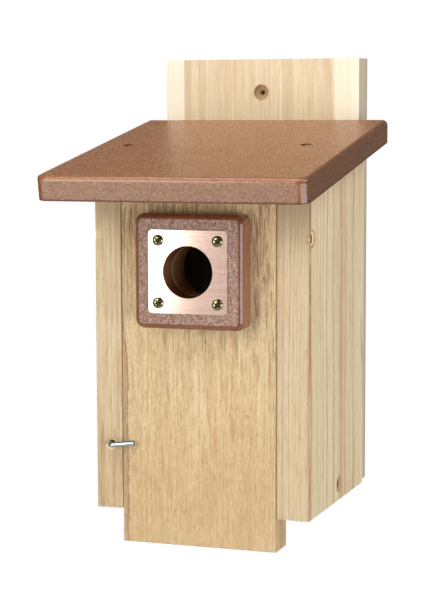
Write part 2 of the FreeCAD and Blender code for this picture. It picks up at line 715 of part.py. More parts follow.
# --------------------------------------------------------------------------------------
# Check and write
# --------------------------------------------------------------------------------------
doc.recompute()
bad = [o.Label for o in doc.Objects if any(s in ("Invalid", "Error") for s in o.State)]
if bad:
    raise RuntimeError("failed objects: " + ", ".join(bad))

NODES = [back, left, right, floor, roof, door, block, portal, portal_screws, left_pivot, right_pivot,
         floor_side_screws, floor_back_screws, rear_groups[0], rear_groups[1], roof_screws, latch]
os.makedirs("parts", exist_ok=True)
for name in os.listdir("parts"):
    if name.endswith(".step"):
        os.remove(os.path.join("parts", name))
for node in NODES:
    shape = node.Shape
    if shape.isNull() or not shape.isValid():
        raise RuntimeError("bad shape: " + node.Label)
for node in NODES:
    shape = node.Shape
    shape.exportStep("parts/%s.step" % node.Label)
    box = shape.BoundBox
    print("%-20s solids %d  volume %9.0f  x %.1f..%.1f  y %.1f..%.1f  z %.1f..%.1f" % (
        node.Label, len(shape.Solids), shape.Volume, box.XMin, box.XMax, box.YMin, box.YMax, box.ZMin, box.ZMax))
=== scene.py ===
import math
import random

import bmesh
import bpy
from mathutils import Matrix, Quaternion, Vector


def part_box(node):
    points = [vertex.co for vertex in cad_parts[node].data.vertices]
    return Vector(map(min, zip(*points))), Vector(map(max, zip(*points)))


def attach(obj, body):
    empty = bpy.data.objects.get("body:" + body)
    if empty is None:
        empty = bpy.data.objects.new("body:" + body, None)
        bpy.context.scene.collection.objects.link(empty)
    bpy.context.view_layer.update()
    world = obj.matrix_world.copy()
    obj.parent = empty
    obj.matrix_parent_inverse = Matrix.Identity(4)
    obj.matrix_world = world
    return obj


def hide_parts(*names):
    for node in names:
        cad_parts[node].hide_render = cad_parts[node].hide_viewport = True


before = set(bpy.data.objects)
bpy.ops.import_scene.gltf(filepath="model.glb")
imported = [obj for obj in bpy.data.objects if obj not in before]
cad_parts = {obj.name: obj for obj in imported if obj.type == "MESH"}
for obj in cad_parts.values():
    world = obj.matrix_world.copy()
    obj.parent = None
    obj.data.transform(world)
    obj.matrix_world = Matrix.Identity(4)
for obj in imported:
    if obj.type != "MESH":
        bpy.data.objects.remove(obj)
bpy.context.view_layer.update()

random.seed(7)
scene = bpy.context.scene

# ----------------------------------------------------------------------------------------
# Camera: the photograph's view
# ----------------------------------------------------------------------------------------
yaw, pitch, roll = math.radians(19.271 + 0.026), math.radians(-5.927), math.radians(-0.139)
fwd = Vector((-math.sin(yaw) * math.cos(pitch), math.cos(yaw) * math.cos(pitch), math.sin(pitch)))
right = Vector((math.cos(yaw), math.sin(yaw), 0.0))
up = right.cross(fwd)
cr, sr = math.cos(roll), math.sin(roll)
r2 = cr * right + sr * up
u2 = -sr * right + cr * up
cam_data = bpy.data.cameras.new("camera")
cam = bpy.data.objects.new("camera", cam_data)
scene.collection.objects.link(cam)
rot = Matrix((r2, u2, -fwd)).transposed()
cam.matrix_world = Matrix.Translation(Vector((0.44636, -1.39717, -0.01693))) @ rot.to_4x4()
cam_data.sensor_fit = "VERTICAL"
cam_data.sensor_height = 36.0
cam_data.sensor_width = 26.58
cam_data.lens = 1794.45 * 36.0 / 600.0
cam_data.clip_start = 0.05
cam_data.clip_end = 60.0
scene.camera = cam
scene.view_settings.view_transform = "Standard"
scene.view_settings.look = "None"

# ----------------------------------------------------------------------------------------
# Light and floor
# ----------------------------------------------------------------------------------------
world = bpy.data.worlds.new("world")
scene.world = world
world.use_nodes = True
wn = world.node_tree
wn.nodes.clear()
w_out = wn.nodes.new("ShaderNodeOutputWorld")
w_mix = wn.nodes.new("ShaderNodeMixShader")
w_lp = wn.nodes.new("ShaderNodeLightPath")
w_fill = wn.nodes.new("ShaderNodeBackground")
w_fill.inputs["Color"].default_value = (1.0, 0.985, 0.96, 1)
w_seen = wn.nodes.new("ShaderNodeBackground")
w_seen.inputs["Color"].default_value = (1, 1, 1, 1)
w_seen.inputs["Strength"].default_value = 1.0
w_tc = wn.nodes.new("ShaderNodeTexCoord")
w_sep = wn.nodes.new("ShaderNodeSeparateXYZ")
w_map = wn.nodes.new("ShaderNodeMapRange")
w_map.interpolation_type = "SMOOTHSTEP"
for k, v in (("From Min", -0.3), ("From Max", 0.6), ("To Min", 0.20), ("To Max", 0.15)):
    w_map.inputs[k].default_value = v
wn.links.new(w_tc.outputs["Generated"], w_sep.inputs[0])
wn.links.new(w_sep.outputs["Y"], w_map.inputs["Value"])
wn.links.new(w_map.outputs["Result"], w_fill.inputs["Strength"])
wn.links.new(w_lp.outputs["Is Camera Ray"], w_mix.inputs["Fac"])
wn.links.new(w_fill.outputs[0], w_mix.inputs[1])
wn.links.new(w_seen.outputs[0], w_mix.inputs[2])
wn.links.new(w_mix.outputs[0], w_out.inputs["Surface"])


def area_light(name, azimuth, elevation, distance, size_x, size_y, radiance, color=(1, 1, 1), roll=0.0):
    """A softbox aimed at the box. Azimuth 0 is straight out of the front, positive to +X."""
    data = bpy.data.lights.new(name, "AREA")
    data.shape = "RECTANGLE"
    data.size = size_x
    data.size_y = size_y
    data.energy = radiance * math.pi * size_x * size_y
    data.color = color
    ob = bpy.data.objects.new(name, data)
    scene.collection.objects.link(ob)
    az, el = math.radians(azimuth), math.radians(elevation)
    target = Vector((-0.002, -0.19, -0.13))
    d = Vector((math.sin(az) * math.cos(el), -math.cos(az) * math.cos(el), math.sin(el)))
    ob.location = target + d * distance
    ob.rotation_euler = ((-d).to_track_quat("-Z", "Y") @ Quaternion((0, 0, 1), math.radians(roll))).to_euler()
    return ob


area_light("key_left", -31.9, 11, 1.7, 0.78, 1.86, 5.9, (1.0, 0.985, 0.95), -9)
area_light("glow", -13, -5, 2.3, 0.85, 0.95, 0.42, (1.0, 0.99, 0.97))
area_light("panel_right", 64, -11, 1.9, 1.90, 0.90, 5.2, (0.98, 0.99, 1.0))
area_light("high_right", 80, 42, 1.9, 1.3, 0.9, 4.3, (0.98, 0.99, 0.98))
area_light("top", -14, 77, 1.8, 1.6, 1.3, 3.3, (1.0, 0.99, 0.98))
area_light("rear_left", -124, -8, 1.9, 1.0, 1.3, 5.0, (1.0, 1.0, 1.0))

floor_mesh = bpy.data.meshes.new("floor")
bm = bmesh.new()
bmesh.ops.create_grid(bm, x_segments=2, y_segments=2, size=1.0)
bmesh.ops.scale(bm, vec=(3.2, 4.0, 1.0), verts=bm.verts)
bm.to_mesh(floor_mesh)
bm.free()
floor = bpy.data.objects.new("stage_floor", floor_mesh)
floor.location = (0, -2.0, -1.95)
scene.collection.objects.link(floor)


# ----------------------------------------------------------------------------------------
# Node helpers
# ----------------------------------------------------------------------------------------
class Nodes:
    def __init__(self, name):
        self.mat = bpy.data.materials.new(name)
        self.mat.use_nodes = True
        self.t = self.mat.node_tree
        self.t.nodes.clear()
        self.out = self.t.nodes.new("ShaderNodeOutputMaterial")
        self.bsdf = self.t.nodes.new("ShaderNodeBsdfPrincipled")
        self.t.links.new(self.bsdf.outputs[0], self.out.inputs["Surface"])
        self.coord = self.t.nodes.new("ShaderNodeTexCoord").outputs["Object"]

    def node(self, kind, **props):
        n = self.t.nodes.new(kind)
        for k, v in props.items():
            setattr(n, k, v)
        return n

    def link(self, a, b):
        self.t.links.new(a, b)

    def put(self, socket, value):
        if hasattr(value, "links"):
            self.link(value, socket)
        else:
            socket.default_value = value

    def scaled(self, sx, sy, sz, vec=None, shift=(0, 0, 0)):
        """Coordinates in millimetres times a frequency for each axis."""
        m = self.node("ShaderNodeMapping", vector_type="POINT")
        m.inputs["Scale"].default_value = (sx * 1000, sy * 1000, sz * 1000)
        m.inputs["Location"].default_value = shift
        self.link(vec or self.coord, m.inputs["Vector"])
        return m.outputs[0]

    def noise(self, vec, scale=1.0, detail=2.0, rough=0.5, distortion=0.0, lac=2.0):
        n = self.node("ShaderNodeTexNoise")
        self.link(vec, n.inputs["Vector"])
        n.inputs["Scale"].default_value = scale
        n.inputs["Detail"].default_value = detail
        n.inputs["Roughness"].default_value = rough
        n.inputs["Lacunarity"].default_value = lac
        n.inputs["Distortion"].default_value = distortion
        return n.outputs["Fac"]

    def math(self, op, a, b=0.0, c=0.0, clamp=False):
        n = self.node("ShaderNodeMath", operation=op)
        n.use_clamp = clamp
        for s, v in zip(n.inputs, (a, b, c)):
            self.put(s, v)
        return n.outputs[0]

    def ramp(self, fac, stops, mode="LINEAR"):
        n = self.node("ShaderNodeValToRGB")
        n.color_ramp.interpolation = mode
        els = n.color_ramp.elements
        while len(els) < len(stops):
            els.new(0.5)
        for e, (p, col) in zip(els, stops):
            e.position = p
            e.color = (*col, 1) if len(col) == 3 else col
        self.link(fac, n.inputs["Fac"])
        return n.outputs["Color"]

    def smooth(self, fac, lo, hi, a=0.0, b=1.0):
        n = self.node("ShaderNodeMapRange", interpolation_type="SMOOTHSTEP")
        self.put(n.inputs["Value"], fac)
        n.inputs["From Min"].default_value = lo
        n.inputs["From Max"].default_value = hi
        n.inputs["To Min"].default_value = a
        n.inputs["To Max"].default_value = b
        return n.outputs["Result"]

    def mix(self, fac, a, b, blend="MIX"):
        n = self.node("ShaderNodeMix", data_type="RGBA", blend_type=blend)
        n.clamp_factor = True
        self.put(n.inputs["Factor"], fac)
        for s, v in ((n.inputs["A"], a), (n.inputs["B"], b)):
            pass
        cols = [s for s in n.inputs if s.type == "RGBA"]
        for s, v in zip(cols, (a, b)):
            if hasattr(v, "links"):
                self.link(v, s)
            else:
                s.default_value = (*v, 1) if len(v) == 3 else v
        return [o for o in n.outputs if o.type == "RGBA"][0]

    def xyz(self, vec=None):
        n = self.node("ShaderNodeSeparateXYZ")
        self.link(vec or self.coord, n.inputs[0])
        return n.outputs

    def bump(self, height, distance_mm, strength=1.0, normal=None):
        n = self.node("ShaderNodeBump")
        n.inputs["Strength"].default_value = strength
        n.inputs["Distance"].default_value = distance_mm / 1000
        self.link(height, n.inputs["Height"])
        if normal is not None:
            self.link(normal, n.inputs["Normal"])
        return n.outputs[0]


def lin(r, g, b):
    """8-bit display colour to linear."""
    out = []
    for v in (r, g, b):
        v /= 255.0
        out.append(v / 12.92 if v <= 0.04045 else ((v + 0.055) / 1.055) ** 2.4)
    return tuple(out)


# ----------------------------------------------------------------------------------------
# Wood: straight-grained cedar as a solid texture. Growth rings are shells round a far-off
# pith that runs along the grain, so faces, edges and end grain agree with each other.
# ----------------------------------------------------------------------------------------
def radial(m, axis, c1, c2):
    """Distance in millimetres from a line along an axis."""
    x, y, z = m.xyz()
    a, b = {"X": (y, z), "Y": (x, z), "Z": (x, y)}[axis]
    da, db = m.math("SUBTRACT", a, c1), m.math("SUBTRACT", b, c2)
    d = m.math("SQRT", m.math("ADD", m.math("MULTIPLY", da, da), m.math("MULTIPLY", db, db)))
    return m.math("MULTIPLY", d, 1000.0)


def cut_hole(m, col, axis, c1, c2, radius, face, sign, inside, rim=None, rim_mm=0.9, amount=0.85, deep=4.1, wall=None, wall_mm=0.9, lip_highlight=None):
    """Colours a drilled hole. Inside, the wood takes its own colour, usually browner than the face; the countersink's
    near-black inside round the nail is painted shadow, and the entrance bore's dark inside is partly painted shade.
    The rim is frayed, and a lip colour paints a highlight along the front of the hole's wall. The face lies at the
    coordinate given on the axis, with the hole towards -sign."""
    d = radial(m, axis, c1, c2)
    depth = m.math("MULTIPLY", m.math("SUBTRACT", face, m.xyz()[axis]), 1000.0 * sign)
    n = m.noise(m.scaled(0.9, 0.9, 0.5), detail=3, rough=0.7)
    dj = m.math("ADD", d, m.math("MULTIPLY", m.math("SUBTRACT", n, 0.5), 1.6))
    if rim is not None:
        near = m.math("MULTIPLY", m.smooth(dj, radius - 0.2, radius + 0.15), m.smooth(dj, radius + rim_mm * 0.5, radius + rim_mm, 1.0, 0.0))
        near = m.math("MULTIPLY", near, m.smooth(depth, 0.3, 0.6, 0.75, 0.0))
        col = m.mix(near, col, rim)
    f = m.math("MULTIPLY", m.smooth(depth, 0.02, 0.25), m.smooth(d, radius + 0.12, radius + 0.30, 1.0, 0.0))
    f = m.math("MULTIPLY", f, m.smooth(depth, deep, deep + 0.3, 1.0, 0.0))
    if wall is not None:
        inside = m.mix(m.smooth(dj, radius - wall_mm - 0.35, radius - wall_mm + 0.35), inside, wall)
    if lip_highlight is not None:
        edge = m.math("ADD", depth, m.math("MULTIPLY", m.math("SUBTRACT", n, 0.5), 1.2))
        inside = m.mix(m.smooth(edge, 1.5, 1.0, 0.0, 0.85), inside, lip_highlight)
    return m.mix(m.math("MULTIPLY", f, amount), col, inside)


def cedar(name, grain="Z", pith=(-0.4, 0.05), ring_mm=3.4, late=0.5, late_from=0.62, light=(0.6, 0.45, 0.26), mid=(0.5, 0.36, 0.2),
          dark=(0.40, 0.25, 0.13), warm=(0.5, 0.28, 0.12), pale=(0.72, 0.6, 0.4), band=0.6, wander=1.0, rough_sawn=0.0, sap=None, seed=0.0,
          fibre=0.4, streak=0.4, flecks=0.4, fuzz_col=0.0, extra=None, holes=()):
    m = Nodes(name)
    x, y, z = m.xyz()
    if grain == "X":
        x, y, z = z, y, x
    comb = m.node("ShaderNodeCombineXYZ")
    for s, v in zip(comb.inputs, (x, y, z)):
        m.link(v, s)
    base = comb.outputs[0]
    # the rings wander slowly along the grain
    w1 = m.noise(m.scaled(1 / 70, 1 / 70, 1 / 260, base, (seed, 0, 0)), detail=2.0)
    w2 = m.noise(m.scaled(1 / 14, 1 / 14, 1 / 90, base, (0, seed, 0)), detail=3.0, rough=0.6)
    dx, dy = m.math("SUBTRACT", x, pith[0]), m.math("SUBTRACT", y, pith[1])
    r = m.math("SQRT", m.math("ADD", m.math("MULTIPLY", dx, dx), m.math("MULTIPLY", dy, dy)))
    rmm = m.math("MULTIPLY", r, 1000.0)
    rmm = m.math("ADD", rmm, m.math("MULTIPLY", m.math("SUBTRACT", w1, 0.5), 9.0 * wander))
    rmm = m.math("ADD", rmm, m.math("MULTIPLY", m.math("SUBTRACT", w2, 0.5), 2.0 * wander))
    # ring widths vary from year to year
    one = m.node("ShaderNodeTexNoise", noise_dimensions="1D")
    one.inputs["Scale"].default_value = 1 / 17
    one.inputs["Detail"].default_value = 3
    m.link(rmm, one.inputs["W"])
    rr = m.math("DIVIDE", m.math("ADD", rmm, m.math("MULTIPLY", one.outputs["Fac"], ring_mm * 3.5)), ring_mm)
    cyc = m.math("FRACT", rr)
    latewood = m.math("MULTIPLY", m.smooth(cyc, late_from, 0.92), m.smooth(cyc, 0.95, 1.0, 1.0, 0.0))
    year = m.node("ShaderNodeTexWhiteNoise", noise_dimensions="1D")
    m.link(m.math("FLOOR", rr), year.inputs["W"])
    latewood = m.math("MULTIPLY", latewood, m.math("MULTIPLY_ADD", year.outputs["Value"], 0.7, 0.4))
    # broad bands across the rings
    bn = m.node("ShaderNodeTexNoise", noise_dimensions="1D")
    bn.inputs["Scale"].default_value = 1 / 11.0
    bn.inputs["Detail"].default_value = 4
    bn.inputs["Roughness"].default_value = 0.62
    m.link(m.math("ADD", rmm, 31.0 + seed * 7), bn.inputs["W"])
    b1 = m.smooth(bn.outputs["Fac"], 0.34, 0.64)
    # streaks of three lengths along the grain
    long_s = m.noise(m.scaled(0.20, 0.20, 1 / 90, base, (3 + seed, 0, 0)), detail=4.0, rough=0.62)
    mid_s = m.noise(m.scaled(0.50, 0.50, 1 / 28, base, (seed, 5, 0)), detail=4.0, rough=0.66)
    fine_s = m.noise(m.scaled(0.95, 0.95, 1 / 14, base, (seed, seed, 0)), detail=4.0, rough=0.72)
    fleck = m.noise(m.scaled(0.80, 0.80, 1 / 6.5, base, (9 + seed, 2, 1)), detail=2.0, rough=0.55)
    col = m.mix(m.math("MULTIPLY", b1, band), light, mid)
    col = m.mix(m.smooth(long_s, 0.50, 0.66, 0.0, 0.60 * streak), col, warm)
    col = m.mix(m.smooth(long_s, 0.48, 0.34, 0.0, 0.75 * streak), col, pale)
    col = m.mix(m.smooth(mid_s, 0.52, 0.68, 0.0, 0.70 * streak), col, dark)
    col = m.mix(m.smooth(mid_s, 0.46, 0.32, 0.0, 0.6 * streak), col, pale)
    col = m.mix(m.math("MULTIPLY", latewood, late), col, dark)
    col = m.mix(m.smooth(fine_s, 0.51, 0.66, 0.0, fibre), col, dark)
    col = m.mix(m.smooth(fine_s, 0.48, 0.34, 0.0, fibre * 0.7), col, pale)
    col = m.mix(m.smooth(fleck, 0.64, 0.72, 0.0, flecks), col, tuple(v * 0.62 for v in warm))
    if sap is not None:
        lo, hi, sap_col = sap
        jag = m.math("MULTIPLY", m.math("SUBTRACT", m.noise(m.scaled(0.25, 0.25, 1 / 60, base, (5, 5, 5)), detail=2), 0.5), 0.004)
        xe = m.math("ADD", x, jag)
        left = m.smooth(xe, lo - 0.0005, lo + 0.0005, 1.0, 0.0)
        rgt = m.smooth(xe, hi - 0.0016, hi + 0.0022, 0.0, 1.0)
        sapf = m.math("MULTIPLY", m.math("MAXIMUM", left, rgt), 0.86)
        sc = m.mix(m.math("MULTIPLY", latewood, 0.35), sap_col, tuple(v * f for v, f in zip(sap_col, (0.96, 0.88, 0.70))))
        col = m.mix(sapf, col, sc)
    if fuzz_col:
        sp = m.noise(m.scaled(0.42, 0.42, 0.24, base, (1, 7, seed)), detail=5.0, rough=0.78)
        col = m.mix(m.smooth(sp, 0.50, 0.62, 0.0, fuzz_col), col, pale)
        col = m.mix(m.smooth(sp, 0.48, 0.36, 0.0, fuzz_col * 0.8), col, warm)
    if extra:
        col = extra(m, col, base, (x, y, z))
    for h in holes:
        col = cut_hole(m, col, *h)
    # end grain is darker
    nrm = m.node("ShaderNodeNewGeometry").outputs["Normal"]
    nz = m.xyz(nrm)["X" if grain == "X" else "Z"]
    end = m.smooth(m.math("ABSOLUTE", nz), 0.75, 0.95)
    col = m.mix(m.math("MULTIPLY", end, 0.45), col, tuple(v * 0.6 for v in dark))
    m.link(col, m.bsdf.inputs["Base Color"])
    h = m.math("MULTIPLY", fine_s, -0.9)
    h = m.math("SUBTRACT", h, m.math("MULTIPLY", mid_s, 0.5))
    h = m.math("SUBTRACT", h, m.math("MULTIPLY", latewood, 0.3))
    if rough_sawn:
        fuzz = m.noise(m.scaled(0.55, 0.55, 0.28, base, (1, 7, seed)), detail=5.0, rough=0.78)
        tear = m.noise(m.scaled(0.40, 0.40, 0.045, base, (seed, 1, 7)), detail=4.0, rough=0.66)
        h = m.math("ADD", h, m.math("MULTIPLY", fuzz, 1.7))
        h = m.math("ADD", h, m.math("MULTIPLY", tear, 2.0))
        nrm_out = m.bump(h, 1.15 * rough_sawn, 1.0)
    else:
        pores = m.noise(m.scaled(2.2, 2.2, 0.30, base, (seed, 3, 1)), detail=3.0, rough=0.65)
        h = m.math("ADD", h, m.math("MULTIPLY", pores, 0.7))
        nrm_out = m.bump(h, 0.32, 0.9)
    m.link(nrm_out, m.bsdf.inputs["Normal"])
    m.link(m.smooth(fine_s, 0.3, 0.7, 0.60, 0.78), m.bsdf.inputs["Roughness"])
    m.bsdf.inputs["Specular IOR Level"].default_value = 0.25
    return m.mat


def door_extra(m, col, base, xyz):
    """A redder, ripped-out band runs down the door's left edge. Painted shade darkens the face towards the bottom and
    lays dark fibre streaks under the roof and round the entrance block.
    """
    x, y, z = xyz
    jag = m.math("MULTIPLY", m.math("SUBTRACT", m.noise(m.scaled(0.45, 0.45, 1 / 9, base, (2, 2, 2)), detail=4, rough=0.7), 0.5), 0.0065)
    zone = m.smooth(z, -0.150, -0.215, -0.0020, 0.0022)
    e = m.math("SUBTRACT", m.math("ADD", x, jag), zone)
    f = m.smooth(e, -0.0592, -0.0586, 0.72, 0.0)
    low = m.smooth(e, -0.0586, -0.0580, 0.0, 1.0)
    edge = m.math("MULTIPLY", m.smooth(e, -0.0596, -0.0590), m.smooth(e, -0.0584, -0.0579, 0.55, 0.0))
    front = m.smooth(y, -0.1722, -0.1716, 1.0, 0.0)
    # painted shade: the face darkens towards the bottom, standing in for light falling off
    col = m.mix(m.smooth(z, -0.20, -0.325, 0.0, 0.30), col, (0.50, 0.30, 0.13))
    col = m.mix(m.math("MULTIPLY", f, front), col, (0.56, 0.36, 0.22))
    col = m.mix(m.math("MULTIPLY", edge, front), col, (0.36, 0.17, 0.07))
    # painted shade: dark fibre streaks under the roof, to the right of the entrance block and below it, where the roof
    # and block cast shadow and grazing light picks out the rough grain
    n1 = m.noise(m.scaled(0.56, 0.56, 1 / 30, base, (4, 4, 4)), detail=4, rough=0.68)
    n2 = m.noise(m.scaled(0.85, 0.85, 1 / 13, base, (8, 1, 4)), detail=3, rough=0.6)
    edge_n = m.math("MULTIPLY", m.math("SUBTRACT", n1, 0.5), 0.05)
    zj = m.math("ADD", z, edge_n)
    top = m.smooth(zj, -0.125, -0.088, 0.0, 0.95)
    rgt = m.math("MULTIPLY", m.smooth(x, 0.034, 0.044), m.smooth(x, 0.068, 0.052))
    rgt = m.math("MULTIPLY", rgt, m.smooth(zj, -0.222, -0.176))
    low = m.math("MULTIPLY", m.math("MULTIPLY", m.smooth(x, -0.036, -0.015), m.smooth(x, 0.056, 0.046)), m.smooth(zj, -0.205, -0.178, 0.0, 0.7))
    shade_streak_zone = m.math("MAXIMUM", top, m.math("MAXIMUM", rgt, low))
    shade_streak_zone = m.math("MULTIPLY", shade_streak_zone, front)
    col = m.mix(m.math("MULTIPLY", shade_streak_zone, m.smooth(n1, 0.51, 0.61, 0.0, 0.60)), col, (0.29, 0.18, 0.092))
    return m.mix(m.math("MULTIPLY", shade_streak_zone, m.smooth(n2, 0.54, 0.64, 0.0, 0.60)), col, (0.22, 0.13, 0.065))


def right_extra(m, col, base, xyz):
    """A dark resin line follows the outer front corner. The front edge is a little browner, with painted shade under
    the roof and towards the bottom.
    """
    x, y, z = xyz
    wob = m.noise(m.scaled(0.2, 0.2, 1 / 22, base, (6, 2, 2)), detail=3, rough=0.6)
    d = m.math("ADD", m.math("MULTIPLY", m.math("SUBTRACT", 0.0846, x), 1000.0), m.math("MULTIPLY", m.math("SUBTRACT", wob, 0.5), 0.9))
    line = m.smooth(d, 0.85, 0.35, 0.0, 1.0)
    front = m.smooth(y, -0.1719, -0.1712, 1.0, 0.0)
    fade = m.math("MULTIPLY", m.smooth(z, -0.245, -0.15, 0.35, 0.95), m.smooth(wob, 0.30, 0.52, 0.3, 1.0))
    # the front edge is a little browner, and darker towards the bottom as painted shade
    col = m.mix(m.math("MULTIPLY", front, m.smooth(z, -0.18, -0.31, 0.24, 0.36)), col, (0.40, 0.275, 0.15))
    # painted shade just under the roof
    col = m.mix(m.math("MULTIPLY", front, m.smooth(z, -0.125, -0.085, 0.0, 0.42)), col, (0.24, 0.175, 0.10))
    return m.mix(m.math("MULTIPLY", m.math("MULTIPLY", line, front), fade), col, (0.20, 0.095, 0.045))


def left_extra(m, col, base, xyz):
    """Painted shade on the front edge just under the roof, and over the whole board towards the bottom; browner
    blotches lie low on the board.
    """
    x, y, z = xyz
    n = m.noise(m.scaled(0.5, 0.5, 1 / 45, base, (3, 3, 3)), detail=3, rough=0.6)
    # painted shade on the front edge just under the roof
    roof_shade = m.math("MULTIPLY", m.smooth(y, -0.1722, -0.1716, 1.0, 0.0), m.smooth(z, -0.112, -0.080, 0.0, 0.50))
    col = m.mix(roof_shade, col, (0.24, 0.175, 0.105))
    # painted shade: the board darkens towards the bottom
    col = m.mix(m.smooth(z, -0.17, -0.30, 0.0, 0.40), col, (0.40, 0.26, 0.135))
    return m.mix(m.math("MULTIPLY", m.smooth(z, -0.18, -0.27), m.smooth(n, 0.50, 0.60, 0.0, 0.55)), col, (0.27, 0.175, 0.105))


def back_extra(m, col, base, xyz):
    """The board's right edge face is greyer, and browner towards the rear."""
    x, y, z = xyz
    f = m.smooth(x, 0.0803, 0.0806)
    yb = m.smooth(y, -0.006, -0.003)
    grey = m.mix(yb, (0.40, 0.345, 0.265), (0.30, 0.205, 0.125))
    return m.mix(m.math("MULTIPLY", f, 0.85), col, grey)


BROWN = (0.33, 0.17, 0.075)
mats = {}
mats["front_door"] = cedar(
    "cedar_door", pith=(-0.62, -0.35), ring_mm=2.9, late=0.30, late_from=0.45, wander=2.0, light=(0.82, 0.615, 0.345), mid=(0.74, 0.535, 0.285),
    dark=(0.47, 0.29, 0.145), warm=(0.72, 0.45, 0.24), pale=(0.93, 0.77, 0.50), band=0.8, rough_sawn=1.0, seed=1.3, fibre=0.34, streak=0.62,
    # the entrance bore: its dark inside is partly drilled grain and partly painted shade of the deep hole; the pale
    # golden lip is a painted highlight along the bore's front edge
    flecks=0.8, fuzz_col=0.42, extra=door_extra, holes=[("Y", -0.002, -0.1305, 19.05, -0.1726, -1, (0.28, 0.130, 0.040), None, 0.9, 0.94, 30.0, None, 0.9, (0.80, 0.50, 0.22))])
mats["back_board"] = cedar(
    "cedar_back", pith=(0.75, 0.10), ring_mm=4.6, late=0.30, light=(0.69, 0.575, 0.39), mid=(0.60, 0.465, 0.305), dark=(0.48, 0.33, 0.185),
    warm=(0.60, 0.40, 0.24), pale=(0.74, 0.66, 0.50), band=0.8, seed=4.1, fibre=0.22, streak=0.5, flecks=0.12,
    sap=(-0.0655, 0.0600, (0.83, 0.76, 0.62)), extra=back_extra, holes=[("Y", 0.0, 0.0, 6.0, -0.0254, -1, (0.38, 0.23, 0.11), (0.45, 0.29, 0.15), 0.7)])
mats["right_side"] = cedar(
    "cedar_right", pith=(-0.33, -0.015), ring_mm=3.4, late=1.0, late_from=0.72, wander=0.6, light=(0.64, 0.54, 0.355), mid=(0.57, 0.455, 0.285),
    dark=(0.37, 0.205, 0.115), warm=(0.48, 0.28, 0.15), pale=(0.68, 0.585, 0.42), band=0.75, seed=2.2, fibre=0.34, streak=0.42, flecks=0.55,
    extra=right_extra, holes=[("X", -0.1673, -0.106, 6.0, 0.0848, 1, (0.74, 0.62, 0.42), BROWN, 0.9, 0.92, 3.1, (0.44, 0.26, 0.11), 0.75),
                              ("X", -0.0941, -0.2984, 6.0, 0.0848, 1, (0.42, 0.25, 0.12), BROWN, 0.8)])
mats["left_side"] = cedar(
    "cedar_left", pith=(0.35, -0.10), ring_mm=3.1, late=0.45, late_from=0.55, wander=0.8, light=(0.63, 0.515, 0.325), mid=(0.55, 0.43, 0.26), extra=left_extra,
    dark=(0.36, 0.235, 0.13), warm=(0.47, 0.28, 0.14), pale=(0.66, 0.565, 0.40), band=0.8, seed=6.7, fibre=0.38, streak=0.6, flecks=0.35,
    holes=[("X", -0.1673, -0.106, 6.0, -0.082, -1, (0.60, 0.48, 0.30), None, 0.9),
           ("X", -0.0941, -0.2984, 6.0, -0.082, -1, (0.42, 0.25, 0.12), BROWN, 0.8),
           # the nail's countersink: the cone's pale cream is partly painted highlight, and the near-black inside round
           # the nail is painted shadow in the gap
           ("Y", -0.070, -0.2628, 4.8, -0.1726, -1, (0.045, 0.028, 0.016), (0.50, 0.33, 0.17), 0.9, 0.95, 4.1, (0.80, 0.65, 0.42), 2.1)])
mats["floor_board"] = cedar(
    "cedar_floor", grain="X", pith=(-0.55, -0.2), ring_mm=3.9, late=0.45, light=(0.55, 0.44, 0.28), mid=(0.49, 0.38, 0.23),
    dark=(0.38, 0.25, 0.14), warm=(0.48, 0.30, 0.16), pale=(0.64, 0.55, 0.38), band=0.8, seed=8.8, fibre=0.35, streak=0.5, flecks=0.3)


# ----------------------------------------------------------------------------------------
# Recycled plastic lumber: melted flakes, a pebbled glossy skin, darker side faces and rounded edges; the block's skin
# has painted sheen
# ----------------------------------------------------------------------------------------
SLOPE = math.radians(9.92)


def plastic_base(name, base, pale, dark, mottle=1.0):
    m = Nodes(name)
    v = m.scaled(1, 1, 1)
    big = m.noise(m.scaled(0.05, 0.05, 0.05), detail=3)
    mid = m.noise(v, scale=0.40, detail=4, rough=0.62)
    fine = m.noise(v, scale=1.05, detail=3, rough=0.62)
    col = m.mix(m.smooth(big, 0.35, 0.7, 0.0, 0.45), base, tuple(b * 0.80 for b in base))
    col = m.mix(m.smooth(mid, 0.50, 0.63, 0.0, 0.62 * mottle), col, pale)
    col = m.mix(m.smooth(mid, 0.49, 0.37, 0.0, 0.62 * mottle), col, dark)
    col = m.mix(m.smooth(fine, 0.54, 0.66, 0.0, 0.65 * mottle), col, pale)
    col = m.mix(m.smooth(fine, 0.46, 0.34, 0.0, 0.70 * mottle), col, dark)
    vor = m.node("ShaderNodeTexVoronoi", feature="F1")
    vor.inputs["Scale"].default_value = 0.55
    m.link(v, vor.inputs["Vector"])
    fleck = m.smooth(vor.outputs["Distance"], 0.20, 0.08, 0.0, 0.5)
    pick = m.smooth(m.xyz(vor.outputs["Color"])["X"], 0.80, 0.86)
    col = m.mix(m.math("MULTIPLY", fleck, pick), col, tuple(min(1, p * 1.5) for p in pale))
    return m, col, v, mid, fine


def facing(m, direction):
    """How squarely the surface faces a direction of the object, from -1 to 1."""
    n = m.node("ShaderNodeVectorMath", operation="DOT_PRODUCT")
    m.link(m.node("ShaderNodeNewGeometry").outputs["Normal"], n.inputs[0])
    n.inputs[1].default_value = direction
    return n.outputs["Value"]


